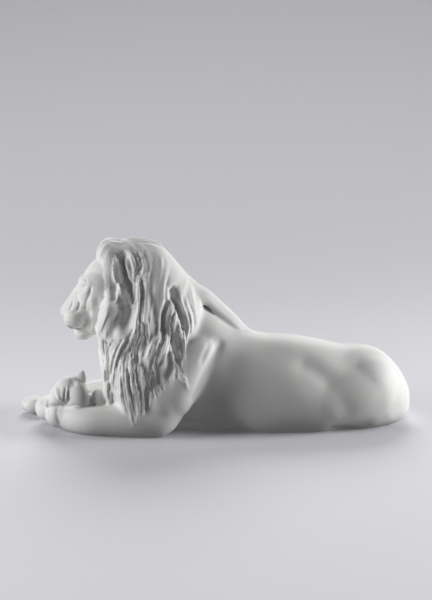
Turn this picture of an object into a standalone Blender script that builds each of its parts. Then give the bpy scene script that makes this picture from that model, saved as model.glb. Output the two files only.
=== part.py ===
"""A porcelain lion that lies with a cub between its forelegs, cast as one solid.

The lion looks along -X and leans over the cub. +Z is up and the underside is ground flat at z = 0.
Places and sizes of the figure are in parts, about one to the millimetre, and the whole is scaled to LENGTH.
"""

import math

import bmesh
import bpy
import numpy as np
from mathutils import Euler, Matrix, Vector
from mathutils.bvhtree import BVHTree

LENGTH = 0.500

# How finely the masses are fused, in parts, and how many triangles the solid keeps
BODY_VOXEL = 3.0
DETAIL_VOXEL = 2.2
HEAD_VOXEL = 1.8
TRIANGLES = 9600


def spline(rows, count):
    """Catmull-Rom curve through the rows, with every column carried along, as `count` rows."""
    rows = np.asarray(rows, float)
    ends = np.vstack([2 * rows[0] - rows[1], rows, 2 * rows[-1] - rows[-2]])
    place = np.linspace(0, len(rows) - 1, count)
    i = np.minimum(place.astype(int), len(rows) - 2)
    t = (place - i)[:, None]
    a, b, c, d = ends[i], ends[i + 1], ends[i + 2], ends[i + 3]
    return 0.5 * (2 * b + (c - a) * t + (2 * a - 5 * b + 4 * c - d) * t**2 + (3 * b - a - 3 * c + d) * t**3)


def unit(vectors):
    return vectors / np.maximum(np.linalg.norm(vectors, axis=-1, keepdims=True), 1e-9)


def skin(rings):
    """Points and faces of a closed skin over a row of rings, each end closed by a fan."""
    rows, sides = rings.shape[:2]
    points = np.vstack([rings.reshape(-1, 3), rings[0].mean(0), rings[-1].mean(0)])
    faces = []
    for row in range(rows - 1):
        for side in range(sides):
            a, b = row * sides + side, row * sides + (side + 1) % sides
            faces.append((a, b, b + sides, a + sides))
    last = (rows - 1) * sides
    for side in range(sides):
        faces.append((rows * sides, (side + 1) % sides, side))
        faces.append((rows * sides + 1, last + side, last + (side + 1) % sides))
    return points, faces


def tube(rows, count=28, sides=20):
    """A limb: rows are x, y, z, half width and half height, and both ends are round."""
    ends = 1 - np.cos(np.linspace(0, math.pi, count))
    rows = spline(rows, 200)[np.round(ends / 2 * 199).astype(int)]
    centres, radii = rows[:, :3], rows[:, 3:]
    along = unit(np.gradient(centres, axis=0))
    side = unit(np.cross(along, (0.0, 0.0, 1.0)))
    up = np.cross(side, along)
    run = np.concatenate([[0], np.cumsum(np.linalg.norm(np.diff(centres, axis=0), axis=1))])
    near_end = np.minimum(run, run[-1] - run) / radii.mean(1)
    round_off = np.sqrt(np.clip(1 - (1 - np.clip(near_end, 0.02, 1)) ** 2, 0, 1))[:, None]
    angle = np.linspace(0, math.tau, sides, endpoint=False)[None, :, None]
    return skin(
        centres[:, None]
        + side[:, None] * np.cos(angle) * (radii[:, :1] * round_off)[:, None]
        + up[:, None] * np.sin(angle) * (radii[:, 1:] * round_off)[:, None]
    )


def ball(centre, radii, turn=(0, 0, 0)):
    """An ellipsoid, turned by Euler angles in degrees."""
    mesh = bmesh.new()
    turned = Euler([math.radians(a) for a in turn]).to_matrix().to_4x4()
    place = Matrix.Translation(centre) @ turned @ Matrix.Diagonal((*radii, 1))
    bmesh.ops.create_uvsphere(mesh, u_segments=24, v_segments=14, radius=1, matrix=place)
    points = np.array([v.co for v in mesh.verts])
    faces = [tuple(v.index for v in face.verts) for face in mesh.faces]
    mesh.free()
    return points, faces


def pair(shape, *arguments, **named):
    """A shape of the head and its mirror image across the head's middle."""
    points, faces = shape(*arguments, **named)
    mirrored = points * (1, -1, 1)
    return [(points, faces), (mirrored, [face[::-1] for face in faces])]


def moved(pieces, place):
    turned = np.array(place.to_3x3())
    return [(points @ turned.T + np.array(place.translation), faces) for points, faces in pieces]


def fuse(pieces, voxel, smoothing):
    """One skin over all the pieces, with the creases between them eased by smoothing."""
    points, faces, first = [], [], 0
    for piece_points, piece_faces in pieces:
        points.append(piece_points)
        faces += [tuple(first + i for i in face) for face in piece_faces]
        first += len(piece_points)
    mesh = bpy.data.meshes.new("masses")
    mesh.from_pydata(np.vstack(points).tolist(), [], faces)
    guide = bpy.data.objects.new("masses", mesh)
    bpy.context.scene.collection.objects.link(guide)
    remesh = guide.modifiers.new("fuse", "REMESH")
    remesh.mode = "VOXEL"
    remesh.voxel_size = voxel
    if smoothing:
        ease = guide.modifiers.new("ease", "SMOOTH")
        ease.factor = 0.5
        ease.iterations = smoothing
    bpy.context.view_layer.update()
    graph = bpy.context.evaluated_depsgraph_get()
    fused = bpy.data.meshes.new_from_object(guide.evaluated_get(graph))
    bpy.data.objects.remove(guide)
    bpy.data.meshes.remove(mesh)
    return fused


def points_of(mesh):
    points = np.empty(len(mesh.vertices) * 3, np.float32)
    mesh.vertices.foreach_get("co", points)
    return points.reshape(-1, 3).astype(float)


def as_piece(mesh):
    return points_of(mesh), [tuple(face.vertices) for face in mesh.polygons]


def stroke(mesh, path, radius, height):
    """Raises the skin along a path, or carves it where height is negative, with a soft edge."""
    points = points_of(mesh)
    normals = np.empty(len(mesh.vertices) * 3, np.float32)
    mesh.vertex_normals.foreach_get("vector", normals)
    path = np.asarray(path, float)
    if len(path) > 2:
        path = spline(path, 4 * len(path))
    reach = 2.5 * radius
    close = np.all((points > path.min(0) - reach) & (points < path.max(0) + reach), axis=1)
    near = points[close]
    if not len(near):
        return
    away = np.full(len(near), np.inf)
    for a, b in zip(path[:-1], path[1:]):
        run = b - a
        t = np.clip((near - a) @ run / max(run @ run, 1e-9), 0, 1)[:, None]
        away = np.minimum(away, np.linalg.norm(near - a - t * run, axis=1))
    push = height * np.exp(-((away / radius) ** 2))
    points[close] += normals.reshape(-1, 3)[close] * push[:, None]
    mesh.vertices.foreach_set("co", points.astype(np.float32).ravel())
    mesh.update()


# The trunk: x, middle y, half width, top and bottom of each section, from the chest to the rump
TRUNK = [
    (-82, 0, 40, 148, 22),
    (-50, 0, 52, 166, 14),
    (-10, 0, 57, 155, 7),
    (25, 0, 61, 130, 0),
    (60, 0, 66, 119, -10),
    (100, 0, 69, 116, -8),
    (135, 1, 66, 110, -8),
    (165, 3, 59, 103, -6),
    (192, 6, 54, 102, -6),
    (214, 8, 47, 95, -4),
    (234, 10, 37, 77, 0),
    (247, 11, 25, 57, 8),
    (253, 12, 12, 42, 18),
]
BELLY_SHARE = 0.36


def trunk():
    """The trunk's skin: pear-shaped sections, widest low down where the belly spreads on the ground."""
    x, middle, half, top, bottom = spline(TRUNK, 60).T[:, :, None]
    angle = np.linspace(0, math.tau, 40, endpoint=False)[None]
    widest = bottom + BELLY_SHARE * (top - bottom)
    rise = np.sin(angle)
    height = np.where(rise > 0, (top - widest) * np.abs(rise) ** 1.0, -(widest - bottom) * np.abs(rise) ** 0.8)
    width = half * np.sign(np.cos(angle)) * np.abs(np.cos(angle)) ** 0.85
    rings = np.stack([x + 0 * angle, middle + width, widest + height], axis=-1)
    return skin(rings)


def limbs():
    """Shoulders, forelegs, haunches, hind feet and tail."""
    near_side = [
        tube([(-2, -34, 118, 16, 20), (-23, -46, 94, 20, 26), (-46, -57, 58, 20, 25), (-64, -62, 26, 19, 25)]),
        tube([(-38, -60, 16, 13, 17), (-62, -65, 22, 18, 25), (-92, -66, 21, 20, 23), (-130, -62, 19, 19, 20),
              (-160, -56, 18, 19, 19), (-182, -41, 18, 20, 19), (-201, -19, 18, 20, 18)]),
        ball((-66, -50, 50), (30, 24, 30)),
    ]
    far_side = [
        tube([(-2, 34, 118, 16, 20), (-23, 46, 94, 20, 26), (-46, 57, 58, 20, 25), (-64, 62, 26, 19, 25)]),
        tube([(-38, 60, 16, 13, 17), (-62, 65, 22, 18, 25), (-110, 66, 21, 20, 24),
              (-160, 62, 20, 19, 22), (-195, 57, 15, 18, 15), (-228, 53, 10.5, 18, 11)]),
        ball((-66, 50, 50), (30, 24, 30)),
        ball((-84, 0, 62), (46, 46, 50)),
        tube([(-128, 2, 8, 18, 14), (-96, 0, 10, 34, 18), (-40, 0, 10, 40, 18), (30, 0, 6, 46, 16)]),
    ]
    hind = [
        ball((194, -8, 55), (43, 42, 41), (0, 24, 0)),
        ball((126, -36, 34), (38, 30, 38), (0, 0, 10)),
        ball((180, 32, 53), (50, 38, 45), (0, 24, -16)),
        ball((134, 54, 38), (42, 27, 36), (0, 10, -14)),
        tube([(132, 62, 28, 20, 24), (176, 78, 22, 17, 18), (204, 84, 15, 13, 14),
              (176, 96, 11, 11, 11), (140, 102, 10, 13, 11), (122, 104, 10, 14, 11)]),
        tube([(120, 50, 14, 16, 14), (84, 72, 10, 14, 11), (62, 82, 9, 15, 10)]),
        tube([(226, 12, 44, 12, 14), (241, 26, 26, 9, 10), (242, 56, 9, 8, 9), (222, 88, 6.5, 7.5, 8),
              (185, 111, 6.5, 7, 7.5), (148, 124, 6.5, 6.5, 7), (116, 124, 6.5, 6, 6.5)]),
        tube([(134, 125, 7, 6, 7), (116, 124, 8, 10, 9), (98, 119, 8, 10, 8), (82, 111, 6, 5, 6), (74, 105, 5, 2, 3)]),
    ]
    return near_side + far_side + hind


def toes(wrist, tip, half_width, size, count=4):
    """The toes of one paw, side by side across its front, as the run from wrist to tip points."""
    wrist, tip = np.array(wrist, float), np.array(tip, float)
    along = unit(tip - wrist)
    side = unit(np.cross(along, (0.0, 0.0, 1.0)))
    heading = math.degrees(math.atan2(along[1], along[0]))
    pieces = []
    for i in range(count):
        share = i / (count - 1) * 2 - 1
        centre = tip + side * share * half_width - along * size * (0.55 * share**2 + 0.9)
        pieces.append(ball(centre, (size * 1.35, size * 0.72, size * 0.95), (0, 0, heading + 10 * share)))
    return pieces


def paws():
    pieces = toes((-194, -30, 19), (-217, 19, 23), 16, 15.5)
    pieces += toes((-226, 55, 11), (-254, 55, 11.5), 13, 11)
    pieces += toes((122, 104, 9), (104, 106, 9), 10, 9.5)
    pieces += toes((62, 82, 8), (45, 90, 8), 9, 9)
    pieces.append(ball((-203, -12, 21), (24, 23, 20), (0, 0, -60)))
    pieces.append(ball((-208, -24, 24), (13, 13, 14)))
    pieces.append(ball((-231, 54, 11), (20, 18, 11), (0, 0, -6)))
    return pieces


# The mane's inner mass, which the locks lie on: x, middle y, half width, top and bottom of each section
MANE = [
    (-136, 2, 26, 236, 170),
    (-122, 2, 38, 242, 120),
    (-104, 1, 48, 241, 84),
    (-86, 0, 54, 236, 64),
    (-68, 0, 57, 226, 60),
    (-52, 0, 57, 208, 62),
    (-38, 0, 54, 192, 72),
    (-26, 0, 46, 176, 88),
    (-16, 0, 32, 162, 104),
]
MANE_WIDEST = 0.42


def mane():
    """The mane's neck: sections that narrow towards the crest."""
    x, middle, half, top, bottom = spline(MANE, 60).T[:, :, None]
    angle = np.linspace(0, math.tau, 48, endpoint=False)[None]
    widest = bottom + MANE_WIDEST * (top - bottom)
    rise, run = np.sin(angle), np.cos(angle)
    height = np.where(rise > 0, top - widest, widest - bottom) * rise
    width = half * np.sign(run) * np.abs(run) ** 1.1
    return skin(np.stack([x + 0 * angle, middle + width, widest + height], axis=-1))


def mane_mass():
    """The neck, the forelock, the breast, and the lobe that hangs over each foreleg."""
    pieces = [
        mane(),
        ball((-112, 2, 198), (38, 39, 43)),
        ball((-133, 2, 220), (20, 27, 23)),
        ball((-118, 0, 96), (27, 34, 60)),
        ball((-148, -8, 127), (14, 20, 13)),
    ]
    pieces += pair(ball, (-102, -32, 130), (49, 34, 62), (0, -6, 0))
    pieces += pair(ball, (-107, -42, 76), (37, 28, 42))
    pieces += pair(ball, (-72, -42, 92), (34, 32, 46))
    pieces += pair(ball, (-105, -69, 62), (20, 11, 36))
    pieces += pair(ball, (-99, -73, 34), (13, 9, 26))
    return pieces


# The mane's tail over the back: x, crest, half width, fall to its edges and thickness
SHAWL = [
    (-68, 219, 44, 38, 8),
    (-50, 209, 45, 31, 12),
    (-35, 198, 43, 25, 16),
    (-20, 186, 38, 19, 18),
    (-7, 177, 31, 12, 18),
    (6, 164, 23, 7, 17),
    (18, 153, 17, 5, 16),
    (31, 139, 12, 4, 13),
    (41, 127, 8, 3, 9),
    (52, 119, 3, 2, 4),
]


def shawl():
    """The part of the mane that lies over the back and narrows to a point, with a free lower edge."""
    x, crest, half, fall, thick = spline(SHAWL, 40).T[:, :, None]
    angle = np.linspace(0, math.tau, 48, endpoint=False)[None]
    across, rise = np.cos(angle), np.sin(angle)
    strands = np.where(rise > 0, 1 + 0.3 * np.cos(4.5 * math.tau * across), 1)
    rise = np.sign(rise) * np.abs(rise) ** 0.5
    height = crest - thick / 2 - fall * across**2 + thick / 2 * rise * strands
    return skin(np.stack([x - 0.18 * half * across**2, half * across, height], axis=-1))


# The head's own frame: forwards, across and up from the middle of the skull
HEAD_AT = (-137, 2, 201)
HEAD_YAW = 13
HEAD_PITCH = 22
HEAD_PLACE = (
    Matrix.Translation(HEAD_AT)
    @ Matrix.Rotation(math.radians(180 - HEAD_YAW), 4, "Z")
    @ Matrix.Rotation(math.radians(HEAD_PITCH), 4, "Y")
)


def head():
    """The lion's head in its own frame, moved to its place."""
    pieces = [
        ball((-5, 0, -2), (37, 31, 24)),
        ball((9, 0, -4), (29, 24, 20)),
        tube([(-24, 0, 26, 16, 12), (-8, 0, 24, 15, 11), (5, 0, 20, 9, 8)]),
        tube([(30, 0, -4, 15, 10), (44, 0, -10, 12, 10), (60, 0, -21, 11, 10), (76, 0, -32, 12, 9), (81, 0, -36, 9, 7)]),
        ball((46, 0, -32), (28, 20, 20)),
        ball((72, 0, -42), (9, 9, 12)),
        ball((61, 0, -63), (14, 13, 11)),
        ball((26, 0, -41), (31, 20, 14), (0, 15, 0)),
    ]
    pieces += pair(ball, (62, 11, -42), (16, 13, 14), (0, 12, 0))
    pieces += pair(ball, (16, 21, -18), (28, 15, 25), (0, 10, -10))
    pieces += pair(ball, (31, 13, 0), (9, 9, 7), (0, 30, 20))
    mesh = fuse(pieces, HEAD_VOXEL, 7)
    for side in (-1, 1):
        stroke(mesh, [(46, 13 * side, -6), (40, 19 * side, -10), (33, 24 * side, -12)], 5.5, -5)
        stroke(mesh, [(44, 10 * side, -8), (52, 12 * side, -22), (56, 14 * side, -30)], 4, -2.5)
        stroke(mesh, [(80, 5.5 * side, -30), (76, 9 * side, -33)], 2.6, -3)
        stroke(mesh, [(79, 1 * side, -53), (70, 14 * side, -57), (57, 19 * side, -60)], 2.8, -4.5)
        stroke(mesh, [(57, 20 * side, -27), (50, 24 * side, -44), (51, 21 * side, -58)], 4, -4)
        stroke(mesh, [(44, 22 * side, -18), (38, 27 * side, -34), (40, 24 * side, -52)], 5, 2)
    stroke(mesh, [(83, 0, -38), (81, 0, -53)], 2.4, -3)
    eyes = pair(ball, (38, 15, -9.5), (7, 6.5, 5.5))
    return moved([as_piece(mesh)] + eyes, HEAD_PLACE)


def leaf(base, tip, across, half_width, thickness, cup):
    """A cupped ear: an oval from base to tip, with its edges bent out of its plane."""
    base, tip, across = (np.array(v, float) for v in (base, tip, across))
    along = unit(tip - base)
    across = unit(across - along * (across @ along))
    out = np.cross(along, across)
    steps, sides = 14, 16
    rings = []
    for t in np.linspace(0, 1, steps):
        wide = half_width * max(0.06, math.sin(math.pi * (0.18 + 0.82 * t)) ** 0.7)
        angle = np.linspace(0, math.tau, sides, endpoint=False)
        v = np.cos(angle)
        bend = cup * v**2 * wide / half_width
        thick = thickness * max(0.2, 1 - t * 0.6) * np.sin(angle)
        centre = base + (tip - base) * t
        rings.append(centre + np.outer(v * wide, across) + np.outer(bend + thick, out))
    return skin(np.array(rings))


# The cub's head in its own frame, smaller and rounder than the lion's
CUB_HEAD_AT = (-180, -36, 54)
CUB_YAW = -25
CUB_PITCH = 50
CUB_ROLL = 0
CUB_PLACE = (
    Matrix.Translation(CUB_HEAD_AT)
    @ Matrix.Rotation(math.radians(180 - CUB_YAW), 4, "Z")
    @ Matrix.Rotation(math.radians(CUB_PITCH), 4, "Y")
    @ Matrix.Rotation(math.radians(CUB_ROLL), 4, "X")
)


def cub():
    """The cub: it lies between the forelegs with its chin on the lion's near paw."""
    pieces = [
        ball((-4, 0, 0), (22, 20, 19)),
        ball((8, 0, -3), (18, 16, 15)),
        tube([(6, 0, 5, 8, 7), (18, 0, 0, 7, 6.5), (26, 0, -4, 6.5, 6), (30, 0, -6, 5, 5)]),
        ball((19, 0, -11), (13, 12, 9)),
        ball((20, 0, -15), (10, 9, 6)),
    ]
    pieces += pair(ball, (24, 5, -10), (9, 7.5, 7))
    pieces += pair(ball, (2, 12, -8), (15, 9, 12))
    mesh = fuse(pieces, HEAD_VOXEL * 0.7, 6)
    for side in (-1, 1):
        stroke(mesh, [(17, 8 * side, 2), (12, 14 * side, -1), (8, 16 * side, -6)], 2.2, -2.4)
        stroke(mesh, [(19, 8 * side, -1), (14, 14 * side, -5)], 2.2, 1.2)
        stroke(mesh, [(31, 2 * side, -12), (24, 11 * side, -15)], 1.8, -1.4)
    body = [
        leaf((-170, -43, 62), (-164, -39, 82), (1, -0.3, 0), 5.5, 2.4, 2),
        leaf((-180, -16, 62), (-177, -8, 74), (1, 0.6, 0), 5.5, 2.4, 2),
        tube([(-180, -34, 48, 17, 16), (-164, -26, 34, 16, 17), (-146, -14, 26, 19, 22), (-120, 8, 20, 23, 24),
              (-96, 14, 18, 23, 24), (-78, 12, 16, 16, 18)]),
        ball((-143, -34, 42), (10, 10, 12)),
        tube([(-150, -10, 24, 9, 10), (-168, -2, 13, 8, 10), (-188, 10, 7, 7, 8), (-200, 14, 6, 8, 7)]),
        tube([(-146, 14, 22, 9, 10), (-164, 24, 12, 8, 10), (-184, 28, 7, 7, 8), (-196, 29, 6, 8, 7)]),
    ]
    return moved([as_piece(mesh)], CUB_PLACE) + body


# The side view: a sheet 432 wide and 600 high that hangs through the figure, seen from 2400 parts away and
# 11 degrees up. Locks and hollows of the mane are drawn on it.
SHEET_MIDDLE = np.array((216.5, 300))
SHEET_UNIT = 1.2857
LOOK_AT = np.array((1.1, -0.7, 163))
VIEW_UP = np.array((0, math.sin(math.radians(11)), math.cos(math.radians(11))))
VIEW_BACK = np.array((0, -math.cos(math.radians(11)), math.sin(math.radians(11))))

# half width, and the lock's run on the side view
SIDE_LOCKS = [
    (3.4, [(104, 248), (106.5, 260), (109, 273), (110.5, 287), (109, 300), (107, 311)]),
    (3.0, [(110, 288), (109, 302), (106.5, 313), (103, 322), (100, 331), (98.5, 342)]),
    (2.4, [(98.5, 330), (98.5, 342), (100, 355), (101.5, 367), (105, 379)]),
    (2.6, [(102, 356), (104, 370), (106, 383), (106.5, 394), (106, 403)]),
    (3.4, [(113, 236), (105, 242), (99.5, 249), (97, 258)]),
    (3.2, [(112, 243), (106, 247), (102, 254), (101, 262)]),
    (3.4, [(116, 238), (124, 240), (132, 247), (138, 257)]),
    (3.4, [(128, 239), (137, 243), (144, 252), (148, 264)]),
    (2.2, [(120, 268), (123, 275), (124, 283), (127, 292)]),
    (2.6, [(140.5, 269), (138, 279), (137, 290), (135.5, 300), (132, 310)]),
    (4.4, [(146, 250), (149, 264), (147, 279), (147, 293), (146, 306), (144, 319)]),
    (4.2, [(156, 252), (157, 266), (157, 281), (155.5, 295), (152, 308), (149, 319)]),
    (4.0, [(167, 254), (167, 266), (164, 281), (161, 293), (158, 304)]),
    (3.8, [(179, 265), (180, 275), (175, 283), (173, 290)]),
    (3.8, [(192, 280), (191, 292), (194, 304), (197.5, 315), (196.5, 328)]),
    (2.4, [(181, 297), (183, 306), (187, 315), (190.5, 323), (189.5, 331), (187, 339)]),
    (2.6, [(172, 305), (169, 313), (167.5, 322), (169, 333)]),
    (2.4, [(145, 312), (145, 323), (146, 334), (147, 345)]),
    (2.6, [(158, 300), (159, 312), (159.5, 324), (161, 335)]),
    (3.0, [(160, 324), (158, 334), (153.5, 345), (149, 355), (147, 363)]),
    (2.6, [(168, 329), (167.5, 340), (164, 350), (160.5, 360)]),
    (2.9, [(177, 318), (180, 331), (183, 344), (185, 357), (184, 369)]),
    (2.6, [(127.5, 334), (120.5, 344), (114.5, 355), (111.5, 367), (110, 379), (108.5, 391), (108.5, 404)]),
    (2.6, [(128, 340), (123, 350), (118, 360), (116, 372), (115.5, 384), (113, 396)]),
    (2.2, [(127.5, 346), (124.5, 357), (124, 369), (126, 382)]),
    (2.6, [(139, 330), (134, 340), (131, 350), (130.5, 361), (132, 371), (131, 382)]),
    (2.0, [(144, 346), (143, 358), (142, 370), (142.5, 380)]),
    (2.8, [(121, 368), (121.5, 383), (122.5, 397), (124.5, 409), (129, 417)]),
    (3.2, [(130, 376), (133, 390), (135.5, 402), (136.5, 415), (137, 428)]),
    (2.9, [(138.5, 374), (141, 388), (143.5, 400), (143.5, 413), (140, 427)]),
    (2.5, [(146.5, 360), (148, 375), (150, 389), (151.5, 400), (148.5, 411)]),
    (2.2, [(151, 368), (153, 381), (155.5, 392), (158.5, 400)]),
    (2.2, [(166, 346), (161.5, 357), (159, 369), (160, 382), (163.5, 396)]),
    (2.0, [(170, 350), (173, 360), (175.5, 370), (175.5, 381)]),
    (2.4, [(170, 348), (174, 358.5), (179, 368), (184, 379), (189, 392)]),
]
SHEET_WIDE, SHEET_TALL = 1.9, 2.0
EAR = [(119, 283), (116, 254)]
# Hollows between the locks, carved after the rest: width and depth, and the run on the side view
HOLLOWS = [
    (5.5, 13, [(122.5, 256), (124.5, 266), (126.5, 276), (128.5, 286), (131, 296)]),
    (8, 9, [(126, 298), (127, 312), (123, 326)]),
    (6, 6, [(116, 312), (114, 324), (110, 334)]),
    (3, 6, [(138, 272), (134.5, 284), (133, 300)]),
    (3, 6, [(168, 304), (165, 312), (163.8, 321), (164.5, 331)]),
    (5.2, 9, [(174, 289), (175, 298)]),
    (3.6, 8, [(175, 298), (178, 308), (181, 318), (183, 329)]),
    (3.6, 8, [(105, 343), (106.5, 355), (107.5, 367), (108, 378)]),
    (4.6, 9, [(174, 337), (175.5, 348), (177.5, 358)]),
    (6, 4, [(168, 362), (170, 378)]),
    (2.8, 5, [(147, 387), (147.6, 398), (147, 408)]),
    (3.4, 5, [(208, 306), (218, 309), (227, 315), (234, 321), (241, 327)]),
]
# Locks down the chest: half width, then y and z
FRONT_LOCKS = [(6.5, [(y * 0.7, 128), (y, 100), (y * 1.1, 74), (y * 0.95, 48)]) for y in (-26, -13, 0, 13, 26)]
# Locks over the crown and the neck: half width, height, then x and y
TOP_LOCKS = (
    [(6, 2.4, [(-148, y * 0.45), (-130, y), (-106, y * 1.1), (-84, y * 1.15)]) for y in (-18, -6, 6, 18)]
    + [(7, 2.4, [(-106, y), (-82, y * 1.1), (-50, y * 1.1), (-16, y * 0.8)]) for y in (-22, -8, 8, 22)]
    + [(7, 4.5, [(-116, 0), (-98, 1), (-82, 1), (-64, 0)])]
)


def on_side(bvh, drawn, side):
    """Points drawn on the side view, carried along the lines of sight to the skin, with the skin's normals.
    Side 1 is the far side, where the whole sight is mirrored."""
    offset = (np.asarray(drawn, float) - SHEET_MIDDLE) * SHEET_UNIT
    eye = LOOK_AT + 2400 * VIEW_BACK
    sheet = LOOK_AT + offset[:, :1] * (1, 0, 0) - offset[:, 1:] * VIEW_UP
    mirror = np.array((1, -side, 1))
    places, normals = [], []
    for way in (sheet - eye) * mirror:
        start = Vector(eye * mirror)
        place, normal, _, _ = bvh.ray_cast(start, Vector(way))
        if place is None:
            place, normal, _, _ = bvh.find_nearest(start + Vector(way))
        places.append(place)
        normals.append(normal)
    return np.array(places), np.array(normals)


def lay(bvh, flat, origin, direction, plane):
    """A drawn lock's points laid on the skin, cast along one axis, with the skin's normals."""
    places, normals = [], []
    for a, b in flat:
        start = Vector(origin)
        start[plane[0]], start[plane[1]] = a, b
        place, normal, _, _ = bvh.ray_cast(start, Vector(direction))
        if place is None:
            place, normal, _, _ = bvh.find_nearest(start + Vector(direction) * 240)
        places.append(place)
        normals.append(normal)
    return np.array(places), np.array(normals)


def lock(places, normals, half_width, height, ridges=2):
    """A lock of hair: a ridged section carried along the path, drawn out to a point at its end."""
    rows = len(places)
    places = spline(places, rows)
    kernel = np.ones(5) / 5
    padded = np.pad(normals, ((2, 2), (0, 0)), "edge")
    normals = unit(np.stack([np.convolve(padded[:, i], kernel, "valid") for i in range(3)], axis=1))
    padded = np.pad(places, ((2, 2), (0, 0)), "edge")
    inner = np.stack([np.convolve(padded[:, i], kernel, "valid") for i in range(3)], axis=1)
    places[1:-1] = inner[1:-1]
    along = unit(np.gradient(places, axis=0))
    side = unit(np.cross(along, normals))
    t = np.linspace(0, 1, rows)
    wide = half_width * np.clip(np.minimum((t + 0.08) * 4, (1.04 - t) * 2.2), 0, 1) ** 0.75
    tall = height * np.clip(np.minimum((t + 0.05) * 3.5, (1.06 - t) * 3), 0, 1) ** 0.75
    angle = np.linspace(0, math.tau, 20, endpoint=False)
    x, y = np.cos(angle), np.sin(angle)
    y = np.where(y > 0, y * (1 + 0.28 * np.cos(ridges * math.tau * x)), y)
    return skin(
        places[:, None]
        + side[:, None] * x[None, :, None] * wide[:, None, None]
        + normals[:, None] * (y[None, :, None] * tall[:, None, None] + tall[:, None, None] * 0.15)
    )


def locks(mesh):
    """All the locks of the mane and the ears, laid on the skin of the masses and the head."""
    bvh = BVHTree.FromPolygons(points_of(mesh).tolist(), [tuple(f.vertices) for f in mesh.polygons])
    pieces = []
    for side in (-1, 1):
        for half_width, flat in SIDE_LOCKS:
            places, normals = on_side(bvh, spline(flat, 22), side)
            pieces.append(lock(places, normals, half_width * SHEET_WIDE, half_width * SHEET_TALL))
        base, tip = on_side(bvh, EAR, side)[0]
        pieces.append(leaf(base, tip + np.array((0, 5 * side, 2)), (side, 0, 0), 7, 2.6, 4))
    for half_width, flat in FRONT_LOCKS:
        drawn = spline(flat, 18)
        pieces.append(lock(*lay(bvh, drawn, (-400, 0, 0), (1, 0, 0), (1, 2)), half_width, half_width * 0.8))
    for half_width, height, flat in TOP_LOCKS:
        drawn = spline(flat, 18)
        pieces.append(lock(*lay(bvh, drawn, (0, 0, 400), (0, 0, -1), (0, 1)), half_width, height))
    return pieces


def hollows(mesh):
    """Deep shadows in the mane, near side and far side."""
    bvh = BVHTree.FromPolygons(points_of(mesh).tolist(), [tuple(f.vertices) for f in mesh.polygons])
    for side in (-1, 1):
        for width, depth, flat in HOLLOWS:
            stroke(mesh, on_side(bvh, spline(flat, 12), side)[0], width, -depth)


def carve_body(mesh):
    """The creases that show on the near haunch and shoulder, and their like on the far side."""
    stroke(mesh, [(118, -64, 92), (140, -64, 74), (164, -58, 50), (174, -52, 30)], 10, -8)
    stroke(mesh, [(186, -46, 74), (191, -48, 50), (190, -46, 24)], 10, -7)
    stroke(mesh, [(196, -10, 102), (212, -6, 96)], 12, 2.5)
    for side in (-1, 1):
        stroke(mesh, [(4, 46 * side, 118), (-8, 60 * side, 88), (-26, 68 * side, 50), (-34, 70 * side, 26)], 7, -4)
        stroke(mesh, [(-4, 46 * side, 126), (-16, 60 * side, 98), (-25, 66 * side, 78)], 3.5, 2)
        stroke(mesh, [(-2, 48 * side, 122), (-11, 60 * side, 96), (-19, 66 * side, 76)], 3, -2)


def porcelain():
    material = bpy.data.materials.new("bisque_porcelain")
    material.use_nodes = True
    shader = material.node_tree.nodes["Principled BSDF"]
    shader.inputs["Base Color"].default_value = (0.83, 0.83, 0.81, 1)
    shader.inputs["Roughness"].default_value = 0.55
    shader.inputs["Metallic"].default_value = 0
    return material


def largest_body(mesh):
    """Only the largest connected skin: fusing can leave crumbs."""
    work = bmesh.new()
    work.from_mesh(mesh)
    unseen, bodies = set(work.verts), []
    while unseen:
        queue, body = [unseen.pop()], []
        while queue:
            vertex = queue.pop()
            body.append(vertex)
            for edge in vertex.link_edges:
                other = edge.other_vert(vertex)
                if other in unseen:
                    unseen.remove(other)
                    queue.append(other)
        bodies.append(body)
    bodies.sort(key=len)
    for body in bodies[:-1]:
        bmesh.ops.delete(work, geom=body, context="VERTS")
    work.to_mesh(mesh)
    work.free()


def main():
    for old in list(bpy.data.objects):
        bpy.data.objects.remove(old)
    body = fuse([trunk()] + limbs() + mane_mass(), BODY_VOXEL, 10)
    carve_body(body)
    lion_head = head()
    under = fuse([as_piece(body)] + lion_head, BODY_VOXEL, 2)
    pieces = [as_piece(body), shawl()] + lion_head + locks(under) + paws() + cub()
    figure = fuse(pieces, DETAIL_VOXEL, 2)
    largest_body(figure)
    hollows(figure)
    figure = fuse([as_piece(figure)], DETAIL_VOXEL, 1)
    largest_body(figure)
    points = points_of(figure)
    low, high = points.min(0), points.max(0)
    points -= ((low[0] + high[0]) / 2, (low[1] + high[1]) / 2, 0)
    points *= LENGTH / (high[0] - low[0])
    figure.vertices.foreach_set("co", points.astype(np.float32).ravel())
    figure.update()
    figure.name = "lion_and_cub"
    figure.materials.append(porcelain())
    collection = bpy.data.collections.new("porcelain_lion")
    bpy.context.scene.collection.children.link(collection)
    lion = bpy.data.objects.new("lion_and_cub", figure)
    collection.objects.link(lion)
    thin = lion.modifiers.new("facets", "DECIMATE")
    thin.ratio = TRIANGLES / (2 * len(figure.polygons))
    cutters = bpy.data.collections.new("cutters")
    bpy.context.scene.collection.children.link(cutters)
    bpy.ops.mesh.primitive_cube_add(size=1)
    ground = bpy.context.object
    ground.name = "ground_cutter"
    for holder in list(ground.users_collection):
        holder.objects.unlink(ground)
    cutters.objects.link(ground)
    ground.scale = (3 * LENGTH, 3 * LENGTH, LENGTH / 4)
    ground.location = (0, 0, -LENGTH / 8)
    ground.hide_render = True
    ground.display_type = "WIRE"
    cut = lion.modifiers.new("flat_underside", "BOOLEAN")
    cut.operation = "DIFFERENCE"
    cut.object = ground


main()
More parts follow.
